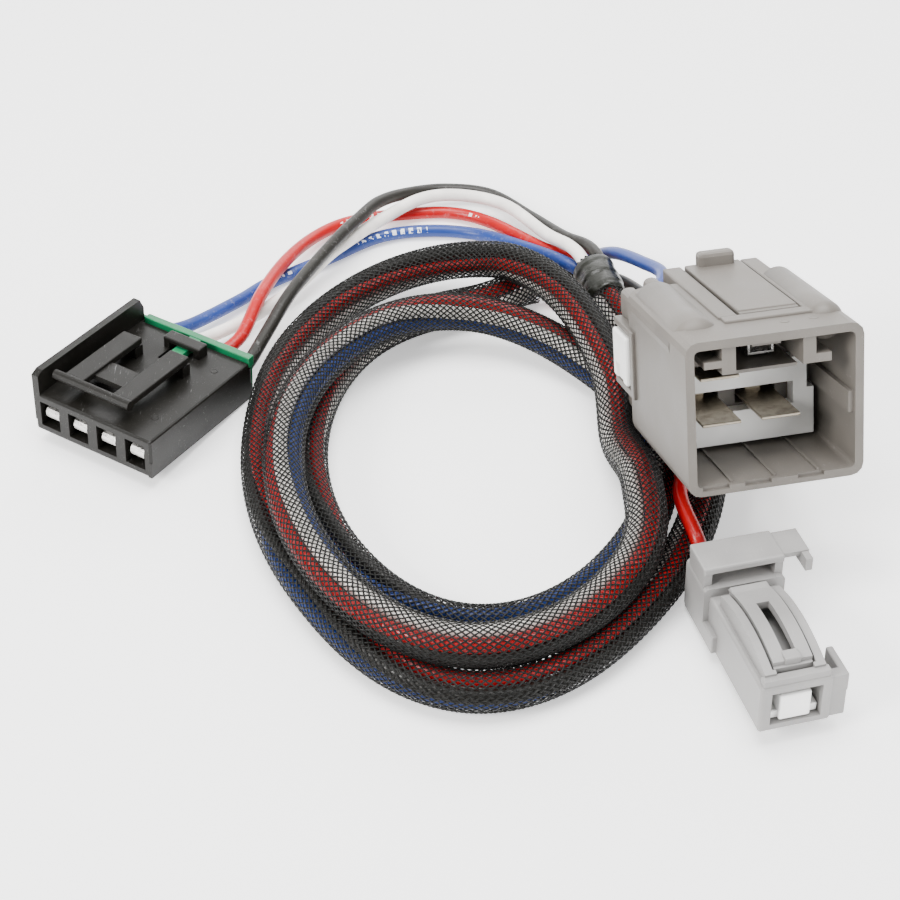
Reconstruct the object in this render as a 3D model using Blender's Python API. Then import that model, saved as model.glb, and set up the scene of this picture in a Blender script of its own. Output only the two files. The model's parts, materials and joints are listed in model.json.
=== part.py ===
"""Trailer brake controller wiring adapter: three plugs on a coiled, sleeved cable.

Every connector is drawn in its own frame, in millimetres: x across the mating face, y from the
mating face to the back, z up from the underside. An empty then puts each frame in its place.
The floor is z = 0, and the origin is below the middle of the three connectors.
"""
import math

import bmesh
import bpy
from mathutils import Matrix, Vector

MM = 0.001
GAP = 0.3                      # clearance kept between neighbouring pieces
SMOOTH_ANGLE = math.radians(35)

# Where the drawing's own zero lies, seen from the origin.
DRAWING_ZERO = Vector((5.73, 27.83, -0.098))

# Cable sizes
WIRE_DIAMETER = 3.7
SLEEVE_DIAMETER = 10.5
COLLAR_DIAMETER = 12.2

# Controller plug: width, depth and height of its body
CONTROLLER_SIZE = Vector((38.0, 43.0, 11.5))
CONTROLLER_CENTRE = Vector((-80.5, 13.5, 7.7))
CONTROLLER_TURN = (-31.3, -5.0)
CONTROLLER_PITCH = 9.25
CONTROLLER_FIRST_CAVITY = 5.1
CAVITY_WIDTH = 6.2
CAVITY_LOW = 1.9
CAVITY_HIGH = 9.3
WIRE_HEIGHT = 5.4

# Vehicle plug: hood size, and the narrower back behind it
VEHICLE_SIZE = Vector((42.5, 51.0, 37.5))
VEHICLE_CENTRE = Vector((69.7, -16.4, 38.8))
VEHICLE_TURN = (11.8, -21.0)
VEHICLE_HOOD_DEPTH = 46.0
VEHICLE_BACK = 58.0
MOUTH_DEPTH = 22.0
WALL = 2.1
BLADE_WIDTH = 9.5
BLADE_THICKNESS = 0.8
BLADE_TIP = 8.0
BLADE_SEATS = (("vehicle_blade_1", 11.0, 14.0),
               ("vehicle_blade_2", 25.4, 14.0),
               ("vehicle_blade_3", 10.7, 25.4))

# Switch plug: the small single-wire connector
SWITCH_SIZE = Vector((17.0, 44.0, 14.5))
SWITCH_CENTRE = Vector((70.6, -74.6, 9.6))
SWITCH_TURN = (14.2, -6.0)
SWITCH_WIRE_X = 5.6
SWITCH_WIRE_Z = 8.6

# The coil: an oval, walked clockwise from its back right corner. Each knot holds the eighths of a
# turn walked, the distance from the middle as a share of the oval, and the sleeve's height.
COIL_MIDDLE = Vector((5.0, -5.0, 0.0))
COIL_HALF_WIDTH = 50.0
COIL_HALF_LENGTH = 66.0
COIL_START = math.radians(-45)
EIGHTH = math.radians(45)
COIL_KNOTS = (
    (0, 1.13, 8.0), (1, 1.22, 5.4), (2, 1.17, 5.4), (3, 1.24, 5.4), (4, 1.08, 5.4),
    (5, 1.073, 5.4), (6, 1.148, 5.6), (7, 1.10, 12.0), (7.4, 1.02, 15.8),
    (8, 0.87, 16.3), (8.5, 0.81, 12.5), (9, 0.775, 7.6), (9.5, 0.91, 14.4), (10, 1.08, 14.8),
    (11, 1.15, 14.0), (12, 1.03, 13.7), (13, 0.92, 14.3), (14, 0.79, 14.0), (15, 0.72, 12.5),
    (16, 0.79, 7.2), (17, 0.96, 5.4), (18, 0.95, 5.4), (19, 0.94, 5.4), (20, 0.85, 5.4),
    (21, 0.83, 5.4), (22, 0.86, 5.4), (23, 0.91, 5.4), (23.45, 1.12, 5.4))
COIL_FIRST = 0.55              # eighths: where the coil's solid takes over from the sleeve's start
RING_STEPS = 56
RING_STATIONS = 15

# Loose stretches, as points in the drawing
COLLAR_ROUTE = ((40.2, 65.2, 10.7), (41.6, 59.5, 10.7), (43.8, 51.0, 10.2))
SLEEVE_START_ROUTE = ((43.97, 50.35, 10.16), (45.7, 43.9, 9.8), (49.0, 38.0, 9.0),
                      (52.9, 32.0, 7.7), (56.6, 26.4, 6.6))
CONTROLLER_WIRES = (
    ("controller_wire_blue", "insulation_blue",
     ((-71.6, 48.4, 4), (-59.7, 60.4, 3), (-51.9, 69.7, 2.2), (-35.2, 81.9, 2.2),
      (-20.8, 92.4, 2.2), (-6, 95.5, 2.2), (8.9, 92.9, 2.6), (22.0, 80.5, 6.8),
      (31.3, 71.5, 9.0), (37.6, 65.9, 8.5))),
    ("controller_wire_white", "insulation_white",
     ((-62.6, 44.9, 4.4), (-52.9, 54.6, 3.6), (-42.9, 67.0, 4.2), (-35.5, 77.5, 6.0), (-30.2, 84.0, 6.4),
      (-20.8, 95.1, 6.2), (-9, 105, 7), (3, 107.1, 7), (16.5, 101.8, 7), (28, 83.6, 9.5),
      (34.4, 73.4, 12.4), (37.6, 65.9, 12.9))),
    ("controller_wire_red", "insulation_red",
     ((-57.4, 40.3, 6.2), (-53, 55.9, 8.4), (-47.7, 74.4, 6.2), (-40, 90.6, 3.4),
      (-30, 100.1, 2.2), (-15.1, 103.8, 2.2), (0, 104.8, 2.2), (12, 98.7, 3),
      (26.5, 82.5, 5.7), (37.7, 73.8, 6.8), (42.1, 67.0, 8.5))),
    ("controller_wire_black", "insulation_black", ((-50.2, 42.3, 6.5), (-44.9, 55.7, 8.8), (-37.8, 70.6, 9.6), (-31.5, 82, 10.4),
      (-26.8, 90.5, 10.2), (-21.3, 99.6, 9.6), (-13.5, 107.6, 7.2), (-1.5, 112.5, 5.5), (12.2, 111.1, 4.6),
      (24, 99.4, 4.6), (33.0, 84.4, 8.2), (39.2, 74.9, 11.7), (42.1, 67.0, 12.9))),
)
VEHICLE_WIRES = (
    ("vehicle_wire_blue", "insulation_blue", 2,
     ((26.7, 71.8, 2.3), (29.0, 75.6, 2.2), (32.2, 78.4, 2.1), (36.5, 79.9, 2.1),
      (42, 79.5, 4.6), (47.0, 71.5, 11.5), (53, 57, 19), (57.2, 41, 26))),
    ("vehicle_wire_black", "insulation_black", 0,
     ((28.0, 68.5, 6.1), (31.2, 71.2, 4.5), (35.4, 72.8, 2.5), (40.5, 73.6, 2.1),
      (49, 67.5, 4.5), (55.5, 52, 9.5), (56.5, 36, 15))),
    ("vehicle_wire_white", "insulation_white", 1,
     ((30.6, 63.6, 7.4), (33.6, 65.6, 5.2), (36.6, 68.3, 2.5), (41.0, 69.4, 2.1),
      (50, 61.5, 2.6), (60, 50, 6), (68.5, 38, 13))),
)
SWITCH_WIRE = ((29.8, 61.8, 3.0), (32.6, 62.2, 2.2), (36.6, 63.4, 2.1), (42, 63.4, 2.1),
               (49, 56.2, 2.1), (57, 45, 3.4), (62.6, 34.0, 7.6), (62.8, 25.5, 12.4),
               (60.4, 16.8, 13.4), (58.6, 10.2, 10.6), (58.7, 3, 9.1), (58.6, -9, 9.1),
               (57.9, -20, 10.6), (56.3, -32, 13.2), (58.8, -44.5, 12.8))

# ---------------------------------------------------------------- small helpers


def clear_scene():
    """Remove every object that the file opened with."""
    for old in list(bpy.data.objects):
        bpy.data.objects.remove(old, do_unlink=True)


def material(name, colour, roughness, metallic=0.0):
    """A Principled material; the same name gives the same material."""
    found = bpy.data.materials.get(name)
    if found:
        return found
    made = bpy.data.materials.new(name)
    made.use_nodes = True
    shader = made.node_tree.nodes["Principled BSDF"]
    shader.inputs["Base Color"].default_value = (*colour, 1.0)
    shader.inputs["Roughness"].default_value = roughness
    shader.inputs["Metallic"].default_value = metallic
    made.diffuse_color = (*colour, 1.0)
    return made


def link(name, data):
    """Put mesh or curve data in the scene as an object."""
    obj = bpy.data.objects.new(name, data)
    bpy.context.scene.collection.objects.link(obj)
    return obj


def from_bmesh(form):
    """Turn a bmesh into an object, still in millimetres."""
    bmesh.ops.recalc_face_normals(form, faces=form.faces)
    mesh = bpy.data.meshes.new("form")
    form.to_mesh(mesh)
    form.free()
    return link("form", mesh)


def block(low, high, edge=0.0, along=None):
    """A box from corner to corner; its edges, or only those along one axis, are rounded."""
    form = bmesh.new()
    bmesh.ops.create_cube(form, size=1.0)
    for vert in form.verts:
        vert.co = Vector([a + (b - a) * (c + 0.5) for a, b, c in zip(low, high, vert.co)])
    if edge:
        chosen = [e for e in form.edges if along is None or
                  abs((e.verts[0].co - e.verts[1].co).normalized()[along]) > 0.9]
        bmesh.ops.bevel(form, geom=chosen, offset=edge, segments=3 if edge > 1 else 2,
                        profile=0.5, affect="EDGES")
    return from_bmesh(form)


def rod(start, end, radius, sides=20):
    """A round bar between two points."""
    start, end = Vector(start), Vector(end)
    form = bmesh.new()
    turn = (end - start).to_track_quat("Z", "Y").to_matrix().to_4x4()
    place = Matrix.Translation((start + end) / 2) @ turn
    bmesh.ops.create_cone(form, cap_ends=True, segments=sides, radius1=radius, radius2=radius,
                          depth=(end - start).length, matrix=place)
    return from_bmesh(form)


def prism(outline, start, end):
    """An outline of (y, z) points, pushed across the width from x = start to x = end."""
    form = bmesh.new()
    face = form.faces.new([form.verts.new((start, y, z)) for y, z in outline])
    pushed = bmesh.ops.extrude_face_region(form, geom=[face])["geom"]
    for vert in (v for v in pushed if isinstance(v, bmesh.types.BMVert)):
        vert.co.x = end
    return from_bmesh(form)


def combine(base, tools, operation):
    """Apply a Boolean with each tool in turn, and throw the tools away."""
    for tool in tools:
        step = base.modifiers.new("combine", "BOOLEAN")
        step.operation = operation
        step.solver = "EXACT"
        step.object = tool
        bpy.context.view_layer.update()
        graph = bpy.context.evaluated_depsgraph_get()
        result = bpy.data.meshes.new_from_object(base.evaluated_get(graph))
        base.modifiers.clear()
        base.data = result
        bpy.data.objects.remove(tool, do_unlink=True)
    return base


def finish(obj, name, frame, look, pivot=(0.0, 0.0, 0.0)):
    """Name a piece, put its origin on its pivot and hang it on its connector's frame."""
    obj.name = name
    obj.data.name = name
    obj.data.materials.clear()
    obj.data.materials.append(look)
    shift = Vector(pivot) * MM
    obj.data.transform(Matrix.Translation(-shift) @ Matrix.Scale(MM, 4))
    obj.data.shade_smooth()
    obj.data.set_sharp_from_angle(angle=SMOOTH_ANGLE)
    obj.parent = frame
    obj.location = shift
    return obj


def frame_matrix(size, centre, turn):
    """From a connector's own millimetres to the drawing's."""
    yaw, pitch = (math.radians(a) for a in turn)
    place = Matrix.Translation(centre) @ Matrix.Rotation(yaw, 4, "Z") @ Matrix.Rotation(pitch, 4, "X")
    return place @ Matrix.Translation(-size / 2)


def connector_frame(name, size, centre, turn):
    """An empty that carries one connector's pieces."""
    empty = link(name, None)
    place = Matrix.Translation(DRAWING_ZERO) @ frame_matrix(size, centre, turn)
    place.translation *= MM
    empty.matrix_world = place
    return empty


# ---------------------------------------------------------------- controller plug

def controller_cavities():
    """The middle of each of the four cavities across the controller plug."""
    return [CONTROLLER_FIRST_CAVITY + CONTROLLER_PITCH * i for i in range(4)]


def controller_plug(frame, black, green, tin):
    """The flat black four-way plug with its guide wall, latch, green lock and terminals."""
    width, depth, height = CONTROLLER_SIZE
    wall = prism(((0, 3.0), (0, height + 5.6), (2.0, height + 6.6), (depth - 1.5, height + 6.8),
                  (depth, height + 3.8), (depth, 3.0)), 0.0, 2.1)
    floor_ledge = block((width - 1.2, 0.0, 0.0), (width, depth, 4.6))
    roots = [block((x, 26.5, height - 0.5), (x + 6.0, 29.5, height + 3.2)) for x in (6.4, 22.0)]
    bridge = block((14.4, 35.6, height - 0.5), (26.4, 39.4, height + 3.2), 0.4)
    body = combine(block((0, 0, 0), (width, depth, height), 0.6), [wall, floor_ledge, bridge], "UNION")
    body = combine(body, roots, "UNION")
    cuts = [block((x - CAVITY_WIDTH / 2, -5, CAVITY_LOW), (x + CAVITY_WIDTH / 2, depth + 5, CAVITY_HIGH))
            for x in controller_cavities()]
    cuts.append(block((16.4, 30.5, height - 0.9), (24.4, depth + 5, height + 1.9)))
    cuts.append(block((2.6, depth - 1.4, 9.6), (width + 5, depth + 5, height + 0.5)))
    finish(combine(body, cuts, "DIFFERENCE"), "controller_plug_housing", frame, black)

    arms = [block((x, 4.2, height + 3.5), (x + 6.0, 29.4, height + 5.4), 0.3) for x in (6.4, 22.0)]
    bar = rod((4.2, 4.4, height + 4.9), (28.6, 4.4, height + 4.9), 1.3, 16)
    hook = prism(((10.0, height + 3.0), (10.0, height + 4.6), (17.0, height + 4.6)), 11.8, 22.6)
    latch = combine(bar, arms + [hook], "UNION")
    finish(latch, "controller_plug_latch", frame, black, (20.2, 28.4, height + 4.2))

    strip = block((2.6 + GAP, depth - 1.4 + GAP, 9.6 + GAP), (width, depth + 1.2, height + 1.5), 0.3)
    tongue = prism(((31.6, height - 0.5), (31.6, height + 0.4), (34.0, height + 1.3),
                    (depth, height + 1.3), (depth, height - 0.5)), 18.6, 22.2)
    comb = block((0.8, depth + GAP, 0.9), (width - 0.6, depth + 1.2, height + 0.4))
    lock = combine(strip, [comb, tongue], "UNION")
    holes = [rod((x, depth - 5, WIRE_HEIGHT), (x, depth + 5, WIRE_HEIGHT), 2.5)
             for x in controller_cavities()]
    finish(combine(lock, holes, "DIFFERENCE"), "controller_plug_lock", frame, green)

    for number, x in enumerate(controller_cavities(), 1):
        box = block((x - 2.2, 2.6, 2.9), (x + 2.2, 17.0, 7.9), 0.4)
        nose = rod((x - 2.15, 2.9, 5.4), (x + 2.15, 2.9, 5.4), 2.1, 16)
        barrel = rod((x, 16.0, WIRE_HEIGHT), (x, 25.0, WIRE_HEIGHT), 2.2, 16)
        slit = block((x - 1.7, 8.0, 4.9), (x + 1.7, 14.0, 9.0))
        terminal = combine(combine(box, [nose, barrel], "UNION"), [slit], "DIFFERENCE")
        finish(terminal, "controller_terminal_%d" % number, frame, tin)


# ---------------------------------------------------------------- vehicle plug

def vehicle_housing(frame, grey):
    """The warm grey hooded shell: mouth, posts and shelf inside it, ribs and rails outside."""
    width, _, height = VEHICLE_SIZE
    hood = block((0, 0, 0), (width, VEHICLE_HOOD_DEPTH, height), 3.0, along=1)
    outside = [
        block((2.5, 40, 2.6), (36.5, VEHICLE_BACK, 33.0), 1.2, along=1),
        rod((5.4, 12, 33.0), (5.4, 43, 33.0), 5.6, 24),
        block((12.6, 14, 34), (17.4, VEHICLE_BACK, height + 0.6), 0.5),
        block((33.0, 14, 34), (37.6, VEHICLE_BACK, height + 0.6), 0.5),
        block((13.0, 10.5, height - 1), (37.2, 14.5, height + 0.6), 0.4),
        block((1.2, 40, 27.0), (5.4, VEHICLE_BACK - 1, 34.6), 1.6, along=1),
        block((7.4, 40, 29.0), (11.4, VEHICLE_BACK, 36.2), 1.6, along=1),
        block((-0.9, 43.2, 10.2), (4, 57.0, 12.2), 0.3),
        block((-0.9, 43.2, 26.0), (4, 57.0, 27.8), 0.3),
        block((-0.9, 41.0, 10.2), (4, 43.6, 27.8), 0.3),
    ]
    shell = combine(hood, outside, "UNION")
    cuts = [
        block((WALL, -5, WALL), (width - WALL, MOUTH_DEPTH + 4.4, height - WALL), 1.2, along=1),
        block((17.7, 14.2, 35.9), (32.7, VEHICLE_BACK + 5, height + 5)),
        block((17.7, 27.2, 33.3), (32.7, VEHICLE_BACK + 5, height + 5)),
        block((-5, 44.0, 12.5), (6.6, 56.2, 25.7)),
        block((18.6, 12, 27.4), (26.8, 36.0, 32.4)),
        rod((22.7, 30, 29.9), (22.7, VEHICLE_BACK + 5, 29.9), 2.3),
    ]
    for _, x, z in BLADE_SEATS:
        cuts.append(block((x - 5.1, 20, z - 2.3), (x + 5.1, 36.0, z + 2.3)))
        cuts.append(rod((x, 30, z), (x, VEHICLE_BACK + 5, z), 2.4))
    for x in (3.4, 13.6, 26.4):
        cuts.append(block((x, -1, 1.2), (x + 6.4, 0.9, 3.0)))
    shell = combine(shell, cuts, "DIFFERENCE")
    inside = [
        block((8.8, 0.6, 28.9), (12.1, 27, 35.7)),
        block((4.6, 0.6, 30.6), (9.4, 12, 32.3)),
        block((28.1, 0.6, 28.9), (31.2, 27, 35.7)),
        block((30.6, 0.6, 28.9), (34.9, 14, 31.0)),
        block((16.4, 2.0, 34.2), (23.3, 27, 35.7)),
        block((11.0, 7.0, 26.4), (29.0, 27, 27.2)),
        block((39.2, 1.2, 15.4), (41.0, 27, 20.6)),
        block((10.4, 1.2, 1.5), (11.1, 27, 2.6)),
        block((20.8, 1.2, 1.5), (21.5, 27, 2.6)),
        block((31.4, 1.2, 1.5), (32.1, 27, 2.6)),
    ]
    finish(combine(shell, inside, "UNION"), "vehicle_plug_housing", frame, grey)


def vehicle_plug(frame, grey, white, brass, tin):
    """The vehicle-side plug and all that it holds."""
    height = VEHICLE_SIZE[2]
    vehicle_housing(frame, grey)

    arm = block((18.0, 16.0, 36.5), (32.4, 57.0, height + 1.0), 0.4)
    tab = block((21.0, 53.4, 36.8), (30.4, 57.6, height + 4.4), 1.0)
    root = block((18.0, 14.2 + GAP, 36.2), (32.4, 18.0, height + 0.7), 0.2)
    finish(combine(arm, [tab, root], "UNION"), "vehicle_plug_latch", frame, grey, (25.2, 15.4, 36.9))

    frame_plate = block((WALL + GAP, MOUTH_DEPTH, WALL + 0.9), (38.9, MOUTH_DEPTH + 4.0, 23.2), 0.3)
    window = block((WALL + 2.6, 10, 11.3), (33.6, 40, 17.1))
    step = block((37.0, 15, 15.0), (50, 40, 21.0))
    insert = combine(frame_plate, [window, step], "DIFFERENCE")
    finish(insert, "vehicle_plug_insert", frame, white)

    side_lock = block((-1.7, 44.0 + GAP, 12.5 + GAP), (6.2, 56.2 - GAP, 25.7 - GAP), 0.6)
    grip = block((-5, 47.0, 10), (-0.9, 53.2, 17.0))
    finish(combine(side_lock, [grip], "DIFFERENCE"), "vehicle_plug_side_lock", frame, white)

    for name, x, z in BLADE_SEATS:
        half = BLADE_WIDTH / 2
        thick = BLADE_THICKNESS / 2
        blade = block((x - half, BLADE_TIP, z - thick), (x + half, 30.0, z + thick), 0.25)
        barrel = rod((x, 28.0, z), (x, 35.0, z), 2.0, 16)
        finish(combine(blade, [barrel], "UNION"), name, frame, brass)

    socket = block((19.4, 14.0, 27.8), (26.0, 28.0, 31.4), 0.2)
    hollow = block((20.1, 10, 28.5), (25.3, 24.0, 34))
    crimp = rod((22.7, 26.0, 29.9), (22.7, 34.0, 29.9), 1.8, 16)
    contact = combine(combine(socket, [crimp], "UNION"), [hollow], "DIFFERENCE")
    finish(contact, "vehicle_small_terminal", frame, tin)


# ---------------------------------------------------------------- switch plug

def arched(drop, base, first=2):
    """The side view of the switch plug's bowed spring arm, as (y, z) points."""
    top = [(y, 18.4 - drop - 0.0135 * (y - 16.0) ** 2) for y in range(first, 32, 3)]
    return [(top[0][0], base)] + top + [(top[-1][0], base)]


def switch_plug(frame, pale, white, tin):
    """The small pale one-wire plug with its bowed latch, back bridge and white front lock."""
    body = block((0, 0, 0), (17.0, 40.0, 13.0), 0.7)
    outside = [
        block((-1.4, 32.0, 1.0), (18.4, 44.0, 15.4), 1.2, along=1),
        prism(arched(0.6, 12.0), 1.4, 4.1),
        prism(arched(0.6, 12.0), 12.9, 15.6),
        block((-1.2, 33.4, 12), (0.8, 42.6, 19.7)),
        block((16.2, 33.4, 12), (18.2, 42.6, 19.7)),
        block((-1.4, 33.0, 18.5), (18.4, 43.0, 20.6), 0.5),
        block((17.0, 33.9, 19.1), (24.6, 42.1, 20.3)),
        block((22.7, 31.0, 16.6), (24.4, 41.8, 20.0)),
        block((16.0, 0.4, 0.4), (20.6, 3.2, 12.4), 0.4),
        block((19.0, 0.4, 7.4), (20.8, 10.0, 12.4), 0.4),
        block((-1.4, 26.0, 1.0), (0.6, 44.0, 6.0), 0.4),
        block((0.6, 0.4, 12.6), (16.4, 2.6, 14.6), 0.3),
    ]
    body = combine(body, outside, "UNION")
    cuts = [
        block((2.6, -5, 1.9), (14.6, 9.6, 11.0)),
        block((3.4, 3.0, 11.9), (13.6, 31.0, 30.0)),
        block((0.9, 30.0, 15.3), (16.1, 50.0, 18.95)),
        rod((SWITCH_WIRE_X, 26, SWITCH_WIRE_Z), (SWITCH_WIRE_X, 50, SWITCH_WIRE_Z), 2.5),
        block((SWITCH_WIRE_X - 2.6, 8, 5.4), (SWITCH_WIRE_X + 2.6, 28, 10.6)),
    ]
    finish(combine(body, cuts, "DIFFERENCE"), "switch_plug_housing", frame, pale)

    bow = prism(arched(0.0, 14.6, 4), 3.9, 13.1)
    under = prism([(6, 10)] + [(y, 16.4 - 0.0135 * (y - 16.0) ** 2) for y in range(6, 27, 4)] +
                  [(35, 15.4), (35, 10)], 0, 20)
    slot = block((7.0, 3.6, 10), (10.0, 22.0, 30))
    ridge = block((3.9, 3.0 + GAP, 11.9 + GAP), (13.1, 6.2, 15.4), 0.2)
    stop = block((6.6, 3.6, 14.0), (10.4, 6.6, 17.3), 0.3)
    pad = block((3.9, 25.0, 14.4), (13.1, 30.6, 16.4), 0.4)
    latch = combine(combine(bow, [under, slot], "DIFFERENCE"), [ridge, stop, pad], "UNION")
    finish(latch, "switch_plug_latch", frame, pale, (8.5, 4.6, 14.6))

    lock = block((4.8, 0.3, 2.4), (12.2, 8.6, 9.6), 0.5)
    wings = block((2.9, 1.6, 2.2), (14.3, 7.6, 4.4), 0.3)
    finish(combine(lock, [wings], "UNION"), "switch_plug_lock", frame, white)

    box = block((SWITCH_WIRE_X - 1.9, 10.4, 6.6), (SWITCH_WIRE_X + 1.9, 20.0, 10.0), 0.3)
    crimp = rod((SWITCH_WIRE_X, 19.0, SWITCH_WIRE_Z), (SWITCH_WIRE_X, 27.0, SWITCH_WIRE_Z), 1.9, 16)
    finish(combine(box, [crimp], "UNION"), "switch_terminal", frame, tin)


# ---------------------------------------------------------------- cable

def curve_through(knots, count):
    """A smooth curve through the knots, read off at count points between each pair."""
    knots = [Vector(k) for k in knots]
    knots = [2 * knots[0] - knots[1]] + knots + [2 * knots[-1] - knots[-2]]
    route = []
    for before, start, end, after in zip(knots, knots[1:], knots[2:], knots[3:]):
        for i in range(count):
            t = i / count
            route.append(0.5 * (2 * start + (end - before) * t
                                + (2 * before - 5 * start + 4 * end - after) * t * t
                                + (3 * start - before - 3 * end + after) * t ** 3))
    return route + [knots[-2]]


def tube(name, points, diameter, look, sides=2):
    """A plain round cable along a route given in the drawing's millimetres."""
    curve = bpy.data.curves.new(name, "CURVE")
    curve.dimensions = "3D"
    curve.bevel_depth = diameter / 2 * MM
    curve.bevel_resolution = sides
    curve.use_fill_caps = True
    curve.render_resolution_u = 0
    route = [points[0]]
    for place in curve_through(points, 24)[1:]:
        if (place - Vector(route[-1])).length > min(diameter * 1.6, 8.0):
            route.append(place)
    if (Vector(points[-1]) - route[-1]).length < diameter * 0.8:
        route.pop()
    route.append(points[-1])
    spline = curve.splines.new("POLY")
    spline.points.add(len(route) - 1)
    for target, place in zip(spline.points, route):
        target.co = (*((Vector(place) + DRAWING_ZERO) * MM), 1.0)
    curve.materials.append(look)
    return link(name, curve)


def coil_point(knot):
    """The sleeve's centre at one knot, or at a point read off between two."""
    angle = COIL_START + EIGHTH * knot[0]
    return COIL_MIDDLE + Vector((COIL_HALF_WIDTH * knot[1] * math.cos(angle),
                                 -COIL_HALF_LENGTH * knot[1] * math.sin(angle), knot[2]))


def coil_passes(turn):
    """Distance from the middle and height of each turn of the sleeve at one angle."""
    walked = curve_through(COIL_KNOTS, 16)
    found = []
    for place in (turn, turn + 8, turn + 16, turn + 24):
        if COIL_FIRST <= place <= walked[-1].x:
            after = next(i for i, knot in enumerate(walked) if knot.x >= place)
            start, end = walked[max(after - 1, 0)], walked[after]
            share = (place - start.x) / max(end.x - start.x, 1e-6)
            point = coil_point(start.lerp(end, share)) - COIL_MIDDLE
            found.append((math.hypot(point.x, point.y), point.z))
    return found


def coil_ring(look):
    """The coil's outer shape as one closed ring: a flat base, and the turns' backs on top."""
    form = bmesh.new()
    radius = SLEEVE_DIAMETER / 2 - 0.4
    rows = []
    for step in range(RING_STEPS):
        turn = 8 * step / RING_STEPS
        passes = coil_passes(turn)
        outward = coil_point((turn, 1.0, 0.0)) - COIL_MIDDLE
        outward.normalize()
        inner = min(reach for reach, _ in passes) - radius
        outer = max(reach for reach, _ in passes) + radius
        section = [(inner, 0.2)]
        for i in range(RING_STATIONS):
            across = inner + (outer - inner) * i / (RING_STATIONS - 1)
            backs = [z + math.sqrt(max(radius ** 2 - (across - reach) ** 2, 0.0))
                     for reach, z in passes if abs(across - reach) <= radius + 1e-6]
            section.append((across, max(backs, default=4.4)))
        section.append((outer, 0.2))
        rows.append([form.verts.new(DRAWING_ZERO + COIL_MIDDLE + outward * r + Vector((0, 0, z)))
                     for r, z in section])
    for row, following in zip(rows, rows[1:] + rows[:1]):
        for i, vert in enumerate(row):
            j = (i + 1) % len(row)
            form.faces.new((vert, row[j], following[j], following[i]))
    ring = from_bmesh(form)
    ring.data.transform(Matrix.Scale(MM, 4))
    ring.data.shade_smooth()
    ring.data.set_sharp_from_angle(angle=SMOOTH_ANGLE)
    ring.name = "sleeve_coil"
    ring.data.materials.append(look)


def local_points(size, centre, turn, points):
    """Points given in a connector's frame, in the drawing's millimetres."""
    return tuple(frame_matrix(size, centre, turn) @ Vector(p) for p in points)


def cables(looks):
    """Sleeve, collar and every loose wire."""
    coil_ring(looks["braid"])
    tube("sleeve_start", SLEEVE_START_ROUTE, SLEEVE_DIAMETER, looks["braid"], 3)
    tube("collar_controller", COLLAR_ROUTE, COLLAR_DIAMETER, looks["tape"], 3)
    for (name, look, route), x in zip(CONTROLLER_WIRES, controller_cavities()):
        start = local_points(CONTROLLER_SIZE, CONTROLLER_CENTRE, CONTROLLER_TURN,
                             ((x, 26.0, WIRE_HEIGHT), (x, 38.0, WIRE_HEIGHT), (x, 47.5, WIRE_HEIGHT)))
        tube(name, start + route, WIRE_DIAMETER, looks[look])
    for name, look, seat, route in VEHICLE_WIRES:
        _, x, z = BLADE_SEATS[seat]
        end = local_points(VEHICLE_SIZE, VEHICLE_CENTRE, VEHICLE_TURN,
                           ((x, 67.0, z), (x, VEHICLE_BACK, z), (x, 35.4, z)))
        tube(name, route + end, WIRE_DIAMETER, looks[look])
    end = local_points(SWITCH_SIZE, SWITCH_CENTRE, SWITCH_TURN,
                       [(SWITCH_WIRE_X, y, SWITCH_WIRE_Z) for y in (49.0, 40.0, 27.4)])
    tube("switch_wire_red", SWITCH_WIRE + end, WIRE_DIAMETER, looks["insulation_red"])


def main():
    """Build every piece."""
    clear_scene()
    looks = {name: material(name, *look) for name, look in {
        "black_plastic": ((0.035, 0.032, 0.027), 0.42),
        "grey_plastic": ((0.45, 0.41, 0.36), 0.5),
        "pale_plastic": ((0.56, 0.54, 0.51), 0.5),
        "green_plastic": ((0.01, 0.25, 0.10), 0.4),
        "white_plastic": ((0.83, 0.83, 0.82), 0.45),
        "tin_plate": ((0.75, 0.74, 0.72), 0.25, 1.0),
        "brass": ((0.60, 0.50, 0.32), 0.3, 1.0),
        "tape": ((0.05, 0.05, 0.04), 0.35),
        "braid": ((0.03, 0.03, 0.03), 0.6),
        "insulation_black": ((0.07, 0.06, 0.05), 0.45),
        "insulation_blue": ((0.05, 0.10, 0.35), 0.4),
        "insulation_red": ((0.60, 0.005, 0.015), 0.4),
        "insulation_white": ((0.92, 0.90, 0.88), 0.4),
    }.items()}
    controller = connector_frame("controller_plug", CONTROLLER_SIZE, CONTROLLER_CENTRE, CONTROLLER_TURN)
    controller_plug(controller, looks["black_plastic"], looks["green_plastic"], looks["tin_plate"])
    vehicle = connector_frame("vehicle_plug", VEHICLE_SIZE, VEHICLE_CENTRE, VEHICLE_TURN)
    vehicle_plug(vehicle, looks["grey_plastic"], looks["white_plastic"], looks["brass"],
                 looks["tin_plate"])
    switch = connector_frame("switch_plug", SWITCH_SIZE, SWITCH_CENTRE, SWITCH_TURN)
    switch_plug(switch, looks["pale_plastic"], looks["white_plastic"], looks["tin_plate"])
    cables(looks)


main()
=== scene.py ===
"""Studio view of the trailer brake controller wiring adapter."""

import json
import math

import bmesh
import bpy
from mathutils import Matrix, Vector

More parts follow.
